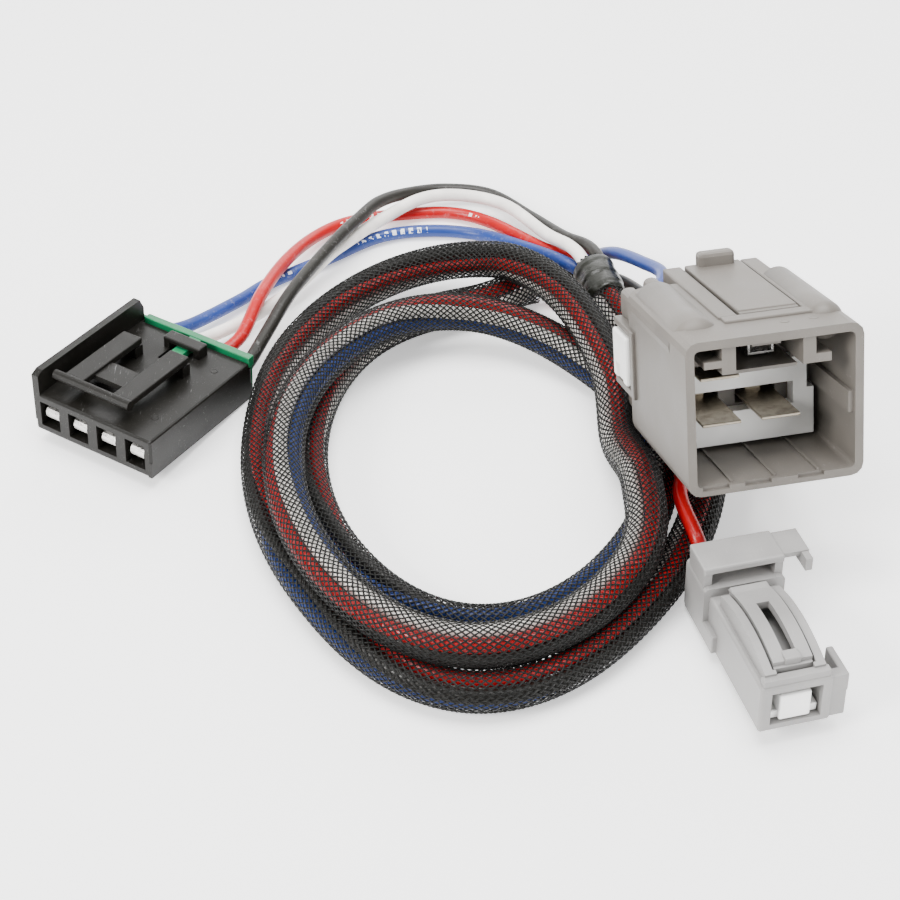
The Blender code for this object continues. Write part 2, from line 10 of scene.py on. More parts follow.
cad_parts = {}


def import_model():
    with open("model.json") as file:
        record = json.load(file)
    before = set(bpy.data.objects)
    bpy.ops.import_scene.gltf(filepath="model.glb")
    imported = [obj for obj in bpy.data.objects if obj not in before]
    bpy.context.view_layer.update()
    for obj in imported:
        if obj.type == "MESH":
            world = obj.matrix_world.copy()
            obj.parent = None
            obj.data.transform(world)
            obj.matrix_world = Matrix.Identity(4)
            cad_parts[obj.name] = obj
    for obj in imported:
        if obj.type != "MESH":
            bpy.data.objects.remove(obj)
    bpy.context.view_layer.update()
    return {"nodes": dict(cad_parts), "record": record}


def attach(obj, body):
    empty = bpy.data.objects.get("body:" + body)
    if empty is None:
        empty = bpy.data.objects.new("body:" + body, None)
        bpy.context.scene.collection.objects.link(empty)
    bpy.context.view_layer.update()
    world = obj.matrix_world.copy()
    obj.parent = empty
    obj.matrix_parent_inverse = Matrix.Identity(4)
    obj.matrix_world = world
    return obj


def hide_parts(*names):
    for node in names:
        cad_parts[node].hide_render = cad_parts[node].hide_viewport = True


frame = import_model()

MM = 0.001
ROOT = "harness"

# ------------------------------------------------------------------ camera

DRAWING_ZERO = Vector((5.73, 27.83, -0.098))
CAMERA_DISTANCE = 490.0
CAMERA_HEIGHT_ANGLE = math.radians(42)
CAMERA_VIEW_ANGLE = math.radians(27)


def add_camera():
    """The camera looks down on the middle of the drawing from the front."""
    data = bpy.data.cameras.new("camera")
    data.sensor_width = 36.0
    data.sensor_fit = "HORIZONTAL"
    data.lens = 18.0 / math.tan(CAMERA_VIEW_ANGLE / 2)
    data.clip_start = 0.01
    data.clip_end = 20.0
    data.dof.use_dof = False
    camera = bpy.data.objects.new("camera", data)
    bpy.context.scene.collection.objects.link(camera)
    away = Vector((0, -math.cos(CAMERA_HEIGHT_ANGLE), math.sin(CAMERA_HEIGHT_ANGLE)))
    target = Vector((DRAWING_ZERO.x, DRAWING_ZERO.y, 0.0))
    camera.location = (target + away * CAMERA_DISTANCE) * MM
    camera.rotation_euler = (math.pi / 2 - CAMERA_HEIGHT_ANGLE, 0, 0)
    bpy.context.scene.camera = camera


add_camera()

# ------------------------------------------------------------------ routes, in the drawing's mm

WIRE_DIAMETER = 3.7
WIRE_SIDES = 14
SLEEVE_DIAMETER = 10.5
LANE = 2.84                    # from the sleeve's middle to each of the four wires in it
FLOOR_GAP = 0.1                # least space between the sleeve and the floor

BRAID_YARNS = 22               # each way round
BRAID_PITCH = 42.0             # along the sleeve in one turn of a yarn
BRAID_SINK = 0.2               # the yarns' middles lie this far inside the sleeve's outside
BRAID_LENGTHS = 4

CONTROLLER_SIZE = Vector((38.0, 43.0, 11.5))
CONTROLLER_CENTRE = Vector((-80.5, 13.5, 7.7))
CONTROLLER_TURN = (-31.3, -5.0)
CAVITY_HEIGHT = 5.4
VEHICLE_SIZE = Vector((42.5, 51.0, 37.5))
VEHICLE_CENTRE = Vector((69.7, -16.4, 38.8))
VEHICLE_TURN = (11.8, -21.0)
VEHICLE_BACK = 58.0
SWITCH_SIZE = Vector((17.0, 44.0, 14.5))
SWITCH_CENTRE = Vector((70.6, -74.6, 9.6))
SWITCH_TURN = (14.2, -6.0)

COIL_MIDDLE = Vector((5.0, -5.0, 0.0))
COIL_HALF_WIDTH = 50.0
COIL_HALF_LENGTH = 66.0
COIL_START = math.radians(-45)
EIGHTH = math.radians(45)
COLLAR_ROUTE = ((40.2, 65.2, 10.7), (41.6, 59.5, 10.7), (43.8, 51.0, 10.2), (48.6, 40.5, 9.1),
                (54.6, 30.0, 7.2))
# Eighths of a turn walked, distance from the middle as a share of the oval, and height
COIL_KNOTS = (
    (0.55, 1.195, 6.0), (1, 1.22, 5.4), (2, 1.17, 5.4), (3, 1.24, 5.4), (4, 1.08, 5.4),
    (5, 1.073, 5.4), (6, 1.148, 5.6), (7, 1.10, 12.0), (7.4, 1.02, 15.8),
    (8, 0.87, 16.3), (8.5, 0.81, 12.5), (9, 0.775, 7.6), (9.5, 0.91, 14.4), (10, 1.08, 14.8),
    (11, 1.15, 14.0), (12, 1.03, 13.7), (13, 0.92, 14.3), (14, 0.79, 14.0), (15, 0.72, 12.5),
    (16, 0.79, 7.2), (17, 0.96, 5.4), (18, 0.95, 5.4), (19, 0.94, 5.4), (20, 0.85, 5.4),
    (21, 0.83, 5.4), (22, 0.86, 5.4), (23, 0.91, 5.4), (23.45, 1.12, 5.4))

# Each wire: colour, cavity, points from the controller plug to the collar, then from the
# sleeve's end to its own plug
WIRES = (
    ("blue", 5.1,
     ((-71.6, 48.4, 4), (-59.7, 60.4, 3), (-51.9, 69.7, 2.2), (-35.2, 81.9, 2.2),
      (-20.8, 92.4, 2.2), (-6, 95.5, 2.2), (8.9, 92.9, 2.6), (22.0, 80.5, 6.8),
      (31.3, 71.5, 9.0), (37.6, 65.9, 8.5)),
     ((26.7, 71.8, 2.3), (29.0, 75.6, 2.2), (32.2, 78.4, 2.1), (36.5, 79.9, 2.1),
      (42, 79.5, 4.6), (47.0, 71.5, 11.5), (53, 57, 19), (57.2, 41, 26)),
     ("vehicle", 10.7, 25.4)),
    ("white", 14.35,
     ((-62.6, 44.9, 4.4), (-52.9, 54.6, 3.6), (-42.9, 67.0, 4.2), (-35.5, 77.5, 6.0),
      (-30.2, 84.0, 6.4), (-20.8, 95.1, 6.2), (-9, 105, 7), (3, 107.1, 7), (16.5, 101.8, 7),
      (28, 83.6, 9.5), (34.4, 73.4, 12.4), (37.6, 65.9, 12.9)),
     ((30.6, 63.6, 7.4), (33.6, 65.6, 5.2), (36.6, 68.3, 2.5), (41.0, 69.4, 2.1),
      (50, 61.5, 2.6), (60, 50, 6), (68.5, 38, 13)),
     ("vehicle", 25.4, 14.0)),
    ("red", 23.6,
     ((-57.4, 40.3, 6.2), (-53, 55.9, 8.4), (-47.7, 74.4, 6.2), (-40, 90.6, 3.4),
      (-30, 100.1, 2.2), (-15.1, 103.8, 2.2), (0, 104.8, 2.2), (12, 98.7, 3),
      (26.5, 82.5, 5.7), (37.7, 73.8, 6.8), (42.1, 67.0, 8.5)),
     ((29.8, 61.8, 3.0), (32.6, 62.2, 2.2), (36.6, 63.4, 2.1), (42, 63.4, 2.1),
      (49, 56.2, 2.1), (57, 45, 3.4), (62.6, 34.0, 7.6), (62.8, 25.5, 12.4),
      (60.4, 16.8, 13.4), (58.6, 10.2, 10.6), (58.7, 3, 9.1), (58.6, -9, 9.1),
      (57.9, -20, 10.6), (56.3, -32, 13.2), (58.8, -44.5, 12.8)),
     ("switch", 5.6, 8.6)),
    ("black", 32.85,
     ((-50.2, 42.3, 6.5), (-44.9, 55.7, 8.8), (-37.8, 70.6, 9.6), (-31.5, 82, 10.4),
      (-26.8, 90.5, 10.2), (-21.3, 99.6, 9.6), (-13.5, 107.6, 7.2), (-1.5, 112.5, 5.5),
      (12.2, 111.1, 4.6), (24, 99.4, 4.6), (33.0, 84.4, 8.2), (39.2, 74.9, 11.7),
      (42.1, 67.0, 12.9)),
     ((28.0, 68.5, 6.1), (31.2, 71.2, 4.5), (35.4, 72.8, 2.5), (40.5, 73.6, 2.1),
      (49, 67.5, 4.5), (55.5, 52, 9.5), (56.5, 36, 15)),
     ("vehicle", 11.0, 14.0)),
)
# Where round the sleeve each wire sits, as a quarter turn, and how the bundle turns on its way
QUARTERS = {"white": 0, "red": 1, "black": 2, "blue": 3}
TWIST_KNOTS = ((-0.3, 10), (1, 0), (2, 10), (3, -20), (4, -80), (5, 20), (6, -30), (7, -90),
               (8, -40), (9, 10), (10, 30), (11, 45), (12, 80), (13, 110), (14, 80), (15, 30),
               (16, 50), (17, 75), (18, 120), (19, 175), (20, 245), (21, 310), (22, 340), (24, 360))


def smooth(knots, count):
    """A smooth curve through the knots, read off at count points between each pair."""
    knots = [Vector(k) for k in knots]
    knots = [2 * knots[0] - knots[1]] + knots + [2 * knots[-1] - knots[-2]]
    route = []
    for before, start, end, after in zip(knots, knots[1:], knots[2:], knots[3:]):
        for i in range(count):
            t = i / count
            route.append(0.5 * (2 * start + (end - before) * t
                                + (2 * before - 5 * start + 4 * end - after) * t * t
                                + (3 * start - before - 3 * end + after) * t ** 3))
    return route + [knots[-2]]


def route_length(route):
    """Length along a list of points."""
    return sum((b - a).length for a, b in zip(route, route[1:]))


def even(route, spacing):
    """The same route with its points an even distance apart."""
    total = route_length(route)
    count = max(2, round(total / spacing))
    result = [route[0].copy()]
    walked = 0.0
    for a, b in zip(route, route[1:]):
        step = (b - a).length
        while step > 0 and len(result) < count and walked + step >= total * len(result) / count:
            result.append(a.lerp(b, (total * len(result) / count - walked) / step))
        walked += step
    return result + [route[-1].copy()]


def coil_point(knot):
    """The sleeve's centre at one knot, or at a point read off between two."""
    angle = COIL_START + EIGHTH * knot[0]
    return COIL_MIDDLE + Vector((COIL_HALF_WIDTH * knot[1] * math.cos(angle),
                                 -COIL_HALF_LENGTH * knot[1] * math.sin(angle),
                                 max(knot[2], SLEEVE_DIAMETER / 2 + FLOOR_GAP)))


def sleeve_route():
    """The sleeve's centre from the taped collar to its far end."""
    coil = [coil_point(k) for k in smooth(COIL_KNOTS, 24)]
    lead = smooth(COLLAR_ROUTE + (tuple(coil[0]), tuple(coil[12])), 16)[:-17]
    return even(lead + coil, 2.0)


SLEEVE = sleeve_route()


def place_of(point):
    """Eighths of a turn walked at a point's direction, within one turn."""
    offset = point - COIL_MIDDLE
    angle = math.atan2(-offset.y / COIL_HALF_LENGTH, offset.x / COIL_HALF_WIDTH)
    return ((angle - COIL_START) / EIGHTH) % 8


def twist_along():
    """The bundle's turn, in radians, at each point of the sleeve."""
    turns = []
    last = place_of(SLEEVE[0])
    base = -8.0 if last > 4 else 0.0
    for point in SLEEVE:
        now = place_of(point)
        if now - last < -4:
            base += 8
        if now - last > 4:
            base -= 8
        last = now
        walked = now + base
        turn = TWIST_KNOTS[0][1]
        for (a, low), (b, high) in zip(TWIST_KNOTS, TWIST_KNOTS[1:]):
            if walked > a:
                share = min(1.0, (walked - a) / (b - a))
                turn = low + (high - low) * share * share * (3 - 2 * share)
        turns.append(math.radians(turn))
    return turns


TWIST = twist_along()


def sleeve_frames():
    """At each point of the sleeve: the way it runs, the way out level, and up."""
    frames = []
    for i, point in enumerate(SLEEVE):
        ahead = (SLEEVE[min(i + 1, len(SLEEVE) - 1)] - SLEEVE[max(i - 1, 0)]).normalized()
        side = ahead.cross(Vector((0, 0, 1))).normalized()
        frames.append((ahead, side, side.cross(ahead)))
    return frames


FRAMES = sleeve_frames()


def inner_route(colour):
    """One wire's way through the sleeve."""
    quarter = math.radians(90) * QUARTERS[colour]
    route = []
    for point, turn, (_, side, up) in zip(SLEEVE, TWIST, FRAMES):
        angle = turn + quarter
        route.append(point + (side * math.cos(angle) + up * math.sin(angle)) * LANE)
    return route


def frame_matrix(size, centre, turn):
    """From a connector's own millimetres to the drawing's."""
    yaw, pitch = (math.radians(a) for a in turn)
    place = Matrix.Translation(centre) @ Matrix.Rotation(yaw, 4, "Z") @ Matrix.Rotation(pitch, 4, "X")
    return place @ Matrix.Translation(-size / 2)


PLUGS = {
    "controller": frame_matrix(CONTROLLER_SIZE, CONTROLLER_CENTRE, CONTROLLER_TURN),
    "vehicle": frame_matrix(VEHICLE_SIZE, VEHICLE_CENTRE, VEHICLE_TURN),
    "switch": frame_matrix(SWITCH_SIZE, SWITCH_CENTRE, SWITCH_TURN),
}


def wire_route(colour, cavity, loose, tail, seat):
    """One wire from the controller plug, through the sleeve, to its own plug."""
    inside = inner_route(colour)
    start = [PLUGS["controller"] @ Vector((cavity, y, CAVITY_HEIGHT)) for y in (24.0, 32.0, 40.0, 47.5)]
    plug, x, z = seat
    depths = (67.0, VEHICLE_BACK, 45.0, 34.0) if plug == "vehicle" else (49.0, 40.0, 33.0, 26.0)
    finish = [PLUGS[plug] @ Vector((x, y, z)) for y in depths]
    first = smooth(start + [Vector(p) for p in loose] + inside[5:12:6], 14)[:-14]
    middle = inside[5:-3]
    last = smooth([inside[-10], inside[-3]] + [Vector(p) for p in tail] + finish, 14)[14:]
    return even(first + middle[1:-1] + last, 1.6)


# ------------------------------------------------------------------ objects from routes

def link(name, data):
    """Put data in the scene as an object."""
    obj = bpy.data.objects.new(name, data)
    bpy.context.scene.collection.objects.link(obj)
    return obj


def world(point):
    """From the drawing's millimetres to the row frame's metres."""
    return (Vector(point) + DRAWING_ZERO) * MM


def poly_curve(name, route):
    """A plain curve object along a route."""
    curve = bpy.data.curves.new(name, "CURVE")
    curve.dimensions = "3D"
    spline = curve.splines.new("POLY")
    spline.points.add(len(route) - 1)
    for target, place in zip(spline.points, route):
        target.co = (*world(place), 1.0)
    return link(name, curve)


def new_tree(name, inputs):
    """An empty geometry node tree with its own inputs."""
    tree = bpy.data.node_groups.new(name, "GeometryNodeTree")
    tree.interface.new_socket("Geometry", in_out="INPUT", socket_type="NodeSocketGeometry")
    for label, kind, value in inputs:
        made = tree.interface.new_socket(label, in_out="INPUT", socket_type=kind)
        if value is not None:
            made.default_value = value
    tree.interface.new_socket("Geometry", in_out="OUTPUT", socket_type="NodeSocketGeometry")
    return tree


def node(tree, kind, **settings):
    """Add a node; settings name its properties, or its input sockets by index as i0, i1."""
    made = tree.nodes.new(kind)
    for key, value in settings.items():
        if key[0] == "i" and key[1:].isdigit():
            target = made.inputs[int(key[1:])]
            if isinstance(value, bpy.types.NodeSocket):
                tree.links.new(value, target)
            else:
                target.default_value = value
        else:
            setattr(made, key, value)
    return made


def maths(tree, operation, first, second=0.0):
    """A maths node's output."""
    return node(tree, "ShaderNodeMath", operation=operation, i0=first, i1=second).outputs[0]


def sweep_tree():
    """A round wire along a curve, which remembers how far along it each point is."""
    tree = new_tree("swept wire", (("Radius", "NodeSocketFloat", 0.00185),
                                   ("Sides", "NodeSocketInt", 16),
                                   ("Material", "NodeSocketMaterial", None)))
    source = node(tree, "NodeGroupInput")
    parameter = node(tree, "GeometryNodeSplineParameter")
    stored = node(tree, "GeometryNodeStoreNamedAttribute", data_type="FLOAT", domain="POINT")
    tree.links.new(source.outputs["Geometry"], stored.inputs["Geometry"])
    stored.inputs["Name"].default_value = "along"
    tree.links.new(parameter.outputs["Length"], stored.inputs["Value"])
    circle = node(tree, "GeometryNodeCurvePrimitiveCircle")
    tree.links.new(source.outputs["Sides"], circle.inputs["Resolution"])
    tree.links.new(source.outputs["Radius"], circle.inputs["Radius"])
    swept = node(tree, "GeometryNodeCurveToMesh")
    tree.links.new(stored.outputs["Geometry"], swept.inputs["Curve"])
    tree.links.new(circle.outputs["Curve"], swept.inputs["Profile Curve"])
    swept.inputs["Fill Caps"].default_value = True
    smooth_node = node(tree, "GeometryNodeSetShadeSmooth")
    tree.links.new(swept.outputs[0], smooth_node.inputs["Geometry"])
    painted = node(tree, "GeometryNodeSetMaterial")
    tree.links.new(smooth_node.outputs[0], painted.inputs["Geometry"])
    tree.links.new(source.outputs["Material"], painted.inputs["Material"])
    target = node(tree, "NodeGroupOutput")
    tree.links.new(painted.outputs[0], target.inputs[0])
    return tree


def wound_yarns(tree, source, captured, sense):
    """All the yarns that wind one way: one copy of the curve for each, moved out to the skin."""
    copies = node(tree, "GeometryNodeDuplicateElements", domain="SPLINE")
    tree.links.new(captured.outputs["Geometry"], copies.inputs["Geometry"])
    tree.links.new(source.outputs["Yarns"], copies.inputs["Amount"])
    share = maths(tree, "DIVIDE", copies.outputs["Duplicate Index"], source.outputs["Yarns"])
    count = captured.outputs["Count"]
    wound = maths(tree, "DIVIDE", count, maths(tree, "MULTIPLY", source.outputs["Yarns"], 2.0))
    wound = maths(tree, "ADD", wound, source.outputs["Start"])
    turn = maths(tree, "ADD", maths(tree, "MULTIPLY", wound, sense), share)
    turn = maths(tree, "MULTIPLY", turn, 2 * math.pi)
    parity = maths(tree, "FLOORED_MODULO", count, 2.0)
    parity = maths(tree, "MULTIPLY", maths(tree, "SUBTRACT", parity, 0.5), 2.0 * sense)
    lift = maths(tree, "MULTIPLY", parity, source.outputs["Weave"])
    reach = maths(tree, "ADD", source.outputs["Radius"], lift)
    out_a = node(tree, "ShaderNodeVectorMath", operation="SCALE", i0=captured.outputs["Side"])
    tree.links.new(maths(tree, "COSINE", turn), out_a.inputs["Scale"])
    out_b = node(tree, "ShaderNodeVectorMath", operation="SCALE", i0=captured.outputs["Over"])
    tree.links.new(maths(tree, "SINE", turn), out_b.inputs["Scale"])
    outward = node(tree, "ShaderNodeVectorMath", operation="ADD", i0=out_a.outputs[0],
                   i1=out_b.outputs[0]).outputs[0]
    kept = node(tree, "GeometryNodeCaptureAttribute", domain="POINT")
    kept.capture_items.new("VECTOR", "Outward")
    tree.links.new(copies.outputs["Geometry"], kept.inputs["Geometry"])
    tree.links.new(outward, kept.inputs["Outward"])
    offset = node(tree, "ShaderNodeVectorMath", operation="SCALE", i0=kept.outputs["Outward"])
    tree.links.new(reach, offset.inputs["Scale"])
    moved = node(tree, "GeometryNodeSetPosition")
    tree.links.new(kept.outputs["Geometry"], moved.inputs["Geometry"])
    tree.links.new(offset.outputs[0], moved.inputs["Offset"])
    faced = node(tree, "GeometryNodeSetCurveNormal", mode="FREE")
    tree.links.new(moved.outputs[0], faced.inputs["Curve"])
    tree.links.new(kept.outputs["Outward"], faced.inputs["Normal"])
    return faced.outputs[0]


def braid_tree():
    """Flat yarns that wind both ways round a curve, each over one and under the next."""
    tree = new_tree("braid", (("Radius", "NodeSocketFloat", 0.005),
                              ("Pitch", "NodeSocketFloat", BRAID_PITCH * MM),
                              ("Yarns", "NodeSocketInt", BRAID_YARNS),
                              ("Width", "NodeSocketFloat", 0.00048),
                              ("Thickness", "NodeSocketFloat", 0.00020),
                              ("Weave", "NodeSocketFloat", 0.00013),
                              ("Start", "NodeSocketFloat", 0.0),
                              ("Material", "NodeSocketMaterial", None)))
    source = node(tree, "NodeGroupInput")
    step = maths(tree, "DIVIDE", source.outputs["Pitch"],
                 maths(tree, "MULTIPLY", source.outputs["Yarns"], 2.0))
    resampled = node(tree, "GeometryNodeResampleCurve", mode="LENGTH")
    tree.links.new(source.outputs["Geometry"], resampled.inputs["Curve"])
    tree.links.new(step, resampled.inputs["Length"])
    tangent = node(tree, "GeometryNodeInputTangent").outputs[0]
    up = node(tree, "FunctionNodeInputVector")
    up.vector = (0, 0, 1)
    side = node(tree, "ShaderNodeVectorMath", operation="CROSS_PRODUCT", i0=tangent, i1=up.outputs[0])
    side = node(tree, "ShaderNodeVectorMath", operation="NORMALIZE", i0=side.outputs[0]).outputs[0]
    over = node(tree, "ShaderNodeVectorMath", operation="CROSS_PRODUCT", i0=side, i1=tangent).outputs[0]
    captured = node(tree, "GeometryNodeCaptureAttribute", domain="POINT")
    captured.capture_items.new("VECTOR", "Side")
    captured.capture_items.new("VECTOR", "Over")
    captured.capture_items.new("INT", "Count")
    tree.links.new(resampled.outputs[0], captured.inputs["Geometry"])
    tree.links.new(side, captured.inputs["Side"])
    tree.links.new(over, captured.inputs["Over"])
    parameter = node(tree, "GeometryNodeSplineParameter")
    tree.links.new(parameter.outputs["Index"], captured.inputs["Count"])
    joined = node(tree, "GeometryNodeJoinGeometry")
    for sense in (1.0, -1.0):
        tree.links.new(wound_yarns(tree, source, captured, sense), joined.inputs[0])
    circle = node(tree, "GeometryNodeCurvePrimitiveCircle")
    circle.inputs["Resolution"].default_value = 6
    circle.inputs["Radius"].default_value = 0.5
    oval = node(tree, "ShaderNodeCombineXYZ")
    tree.links.new(source.outputs["Thickness"], oval.inputs["X"])
    tree.links.new(source.outputs["Width"], oval.inputs["Y"])
    oval.inputs["Z"].default_value = 1.0
    profile = node(tree, "GeometryNodeTransform")
    tree.links.new(circle.outputs["Curve"], profile.inputs["Geometry"])
    tree.links.new(oval.outputs[0], profile.inputs["Scale"])
    swept = node(tree, "GeometryNodeCurveToMesh")
    tree.links.new(joined.outputs[0], swept.inputs["Curve"])
    tree.links.new(profile.outputs[0], swept.inputs["Profile Curve"])
    swept.inputs["Fill Caps"].default_value = True
    rounded = node(tree, "GeometryNodeSetShadeSmooth")
    tree.links.new(swept.outputs[0], rounded.inputs["Geometry"])
    painted = node(tree, "GeometryNodeSetMaterial")
    tree.links.new(rounded.outputs[0], painted.inputs["Geometry"])
    tree.links.new(source.outputs["Material"], painted.inputs["Material"])
    target = node(tree, "NodeGroupOutput")
    tree.links.new(painted.outputs[0], target.inputs[0])
    return tree


def grown(name, route, tree, **values):
    """Run a geometry tree on a route and keep the mesh that it makes."""
    path = poly_curve(name + " path", route)
    modifier = path.modifiers.new("grow", "NODES")
    modifier.node_group = tree
    sockets = {item.name: item.identifier for item in tree.interface.items_tree
               if item.in_out == "INPUT"}
    for label, value in values.items():
        modifier[sockets[label]] = value
    bpy.context.view_layer.update()
    graph = bpy.context.evaluated_depsgraph_get()
    mesh = bpy.data.meshes.new_from_object(path.evaluated_get(graph))
    data = path.data
    bpy.data.objects.remove(path, do_unlink=True)
    bpy.data.curves.remove(data)
    mesh.name = name
    return link(name, mesh)


# ------------------------------------------------------------------ materials

def shader_group(name, inputs, outputs):
    """An empty shader node group, with its input and output nodes."""
    group = bpy.data.node_groups.new(name, "ShaderNodeTree")
    for label, kind, value in inputs:
        made = group.interface.new_socket(label, in_out="INPUT", socket_type=kind)
        made.default_value = value
    for label, kind in outputs:
        group.interface.new_socket(label, in_out="OUTPUT", socket_type=kind)
    return group, node(group, "NodeGroupInput"), node(group, "NodeGroupOutput")


def noise(tree, vector, scale, detail=2.0, roughness=0.5):
    """A noise texture's value."""
    made = node(tree, "ShaderNodeTexNoise")
    tree.links.new(vector, made.inputs["Vector"])
    if isinstance(scale, bpy.types.NodeSocket):
        tree.links.new(scale, made.inputs["Scale"])
    else:
        made.inputs["Scale"].default_value = scale
    made.inputs["Detail"].default_value = detail
    made.inputs["Roughness"].default_value = roughness
    return made.outputs[0]


def remap(tree, value, low, high, to_low=0.0, to_high=1.0):
    """Stretch a value from one range to another."""
    made = node(tree, "ShaderNodeMapRange")
    tree.links.new(value, made.inputs["Value"])
    for label, number in (("From Min", low), ("From Max", high), ("To Min", to_low),
                          ("To Max", to_high)):
        made.inputs[label].default_value = number
    return made.outputs[0]


def moulded_group():
    """Fine moulded grain, soft mottling, dust and faint handling scratches."""
    group, start, end = shader_group(
        "moulded surface",
        (("Vector", "NodeSocketVector", (0, 0, 0)), ("Grain", "NodeSocketFloat", 2600.0),
         ("Depth", "NodeSocketFloat", 0.15)),
        (("Mottle", "NodeSocketFloat"), ("Scratch", "NodeSocketFloat"),
         ("Dust", "NodeSocketFloat"), ("Height", "NodeSocketFloat")))
    vector = start.outputs["Vector"]
    grain = noise(group, vector, start.outputs["Grain"], 3.0, 0.6)
    mottle = remap(group, noise(group, vector, 90.0, 3.0), 0.3, 0.7)
    flow = remap(group, noise(group, vector, 260.0, 4.0, 0.7), 0.35, 0.65)
    stretch = node(group, "ShaderNodeMapping", vector_type="POINT")
    group.links.new(vector, stretch.inputs["Vector"])
    stretch.inputs["Rotation"].default_value = (0.3, 0.7, 0.5)
    stretch.inputs["Scale"].default_value = (1.0, 0.05, 1.0)
    scratch = remap(group, noise(group, stretch.outputs[0], 3200.0, 2.0), 0.66, 0.74)
    patches = remap(group, noise(group, vector, 140.0, 1.0), 0.5, 0.6)
    scratch = maths(group, "MULTIPLY", scratch, patches)
    specks = remap(group, noise(group, vector, 5200.0, 1.0), 0.73, 0.78)
    dust = maths(group, "MULTIPLY", specks, flow)
    height = maths(group, "MULTIPLY", grain, start.outputs["Depth"])
    height = maths(group, "SUBTRACT", height, maths(group, "MULTIPLY", scratch, 0.08))
    for label, value in (("Mottle", mottle), ("Scratch", scratch), ("Dust", dust),
                         ("Height", height)):
        group.links.new(value, end.inputs[label])
    return group


def metal_group():
    """Drawn lines, tarnish blotches and fine pits for stamped contacts."""
    group, start, end = shader_group(
        "stamped metal", (("Vector", "NodeSocketVector", (0, 0, 0)),),
        (("Lines", "NodeSocketFloat"), ("Tarnish", "NodeSocketFloat"),
         ("Height", "NodeSocketFloat")))
    vector = start.outputs["Vector"]
    stretch = node(group, "ShaderNodeMapping", vector_type="POINT")
    group.links.new(vector, stretch.inputs["Vector"])
    stretch.inputs["Scale"].default_value = (1.0, 0.04, 1.0)
    lines = noise(group, stretch.outputs[0], 5200.0, 3.0, 0.7)
    tarnish = remap(group, noise(group, vector, 420.0, 4.0, 0.65), 0.42, 0.7)
    pits = remap(group, noise(group, vector, 4200.0, 1.0), 0.68, 0.76)
    height = maths(group, "SUBTRACT", maths(group, "MULTIPLY", lines, 0.3),
                   maths(group, "MULTIPLY", pits, 0.2))
    for label, value in (("Lines", lines), ("Tarnish", tarnish), ("Height", height)):
        group.links.new(value, end.inputs[label])
    return group


def cable_group():
    """Extruded insulation: long streaks, scuffs, small ripples and printed ticks."""
    group, start, end = shader_group(
        "cable skin",
        (("Vector", "NodeSocketVector", (0, 0, 0)), ("Along", "NodeSocketFloat", 0.0),
         ("Upward", "NodeSocketFloat", 0.0), ("Printed", "NodeSocketFloat", 0.17)),
        (("Streak", "NodeSocketFloat"), ("Scuff", "NodeSocketFloat"), ("Ticks", "NodeSocketFloat"),
         ("Height", "NodeSocketFloat")))
    vector = start.outputs["Vector"]
    streak = remap(group, noise(group, vector, 160.0, 3.0), 0.3, 0.7)
    scuff = remap(group, noise(group, vector, 700.0, 4.0, 0.7), 0.55, 0.72)
    scuff = maths(group, "MULTIPLY", scuff, remap(group, noise(group, vector, 60.0), 0.45, 0.62))
    ripple = noise(group, vector, 1300.0, 3.0, 0.6)
    along = start.outputs["Along"]
    beat = maths(group, "FRACT", maths(group, "MULTIPLY", along, 1 / 0.0026))
    dash = maths(group, "LESS_THAN", beat, 0.52)
    cluster = maths(group, "FRACT", maths(group, "MULTIPLY", along, 1 / 0.046))
    shown = maths(group, "MULTIPLY", maths(group, "LESS_THAN", cluster, 0.5),
                  maths(group, "LESS_THAN", along, start.outputs["Printed"]))
    broken = maths(group, "GREATER_THAN", noise(group, vector, 900.0, 1.0), 0.42)
    facing = maths(group, "GREATER_THAN", start.outputs["Upward"], 0.88)
    ticks = maths(group, "MULTIPLY", maths(group, "MULTIPLY", dash, shown),
                  maths(group, "MULTIPLY", broken, facing))
    for label, value in (("Streak", streak), ("Scuff", scuff), ("Ticks", ticks),
                         ("Height", ripple)):
        group.links.new(value, end.inputs[label])
    return group


MOULDED = moulded_group()
STAMPED = metal_group()
CABLE = cable_group()


def base_material(name):
    """A material with a Principled shader, and its tree, shader and object coordinates."""
    made = bpy.data.materials.new(name)
    made.use_nodes = True
    tree = made.node_tree
    shader = tree.nodes["Principled BSDF"]
    where = node(tree, "ShaderNodeTexCoord").outputs["Object"]
    return made, tree, shader, where


def use_group(tree, group, **links):
    """A group node in a material, with its inputs linked or set."""
    made = node(tree, "ShaderNodeGroup", node_tree=group)
    for label, value in links.items():
        if isinstance(value, bpy.types.NodeSocket):
            tree.links.new(value, made.inputs[label])
        else:
            made.inputs[label].default_value = value
    return made


def mix(tree, factor, first, second):
    """Mix two colours."""
    made = node(tree, "ShaderNodeMix", data_type="RGBA")
    for socket, value in ((made.inputs[0], factor), (made.inputs[6], first), (made.inputs[7], second)):
        if isinstance(value, bpy.types.NodeSocket):
            tree.links.new(value, socket)
        elif isinstance(value, tuple):
            socket.default_value = (*value, 1.0)
        else:
            socket.default_value = value
    return made.outputs[2]


def bump(tree, height, strength, distance):
    """A bump node's normal."""
    made = node(tree, "ShaderNodeBump")
    tree.links.new(height, made.inputs["Height"])
    made.inputs["Strength"].default_value = strength
    made.inputs["Distance"].default_value = distance
    return made.outputs[0]


def shade(colour, factor):
    """A colour made darker or lighter."""
    return tuple(min(1.0, c * factor) for c in colour)


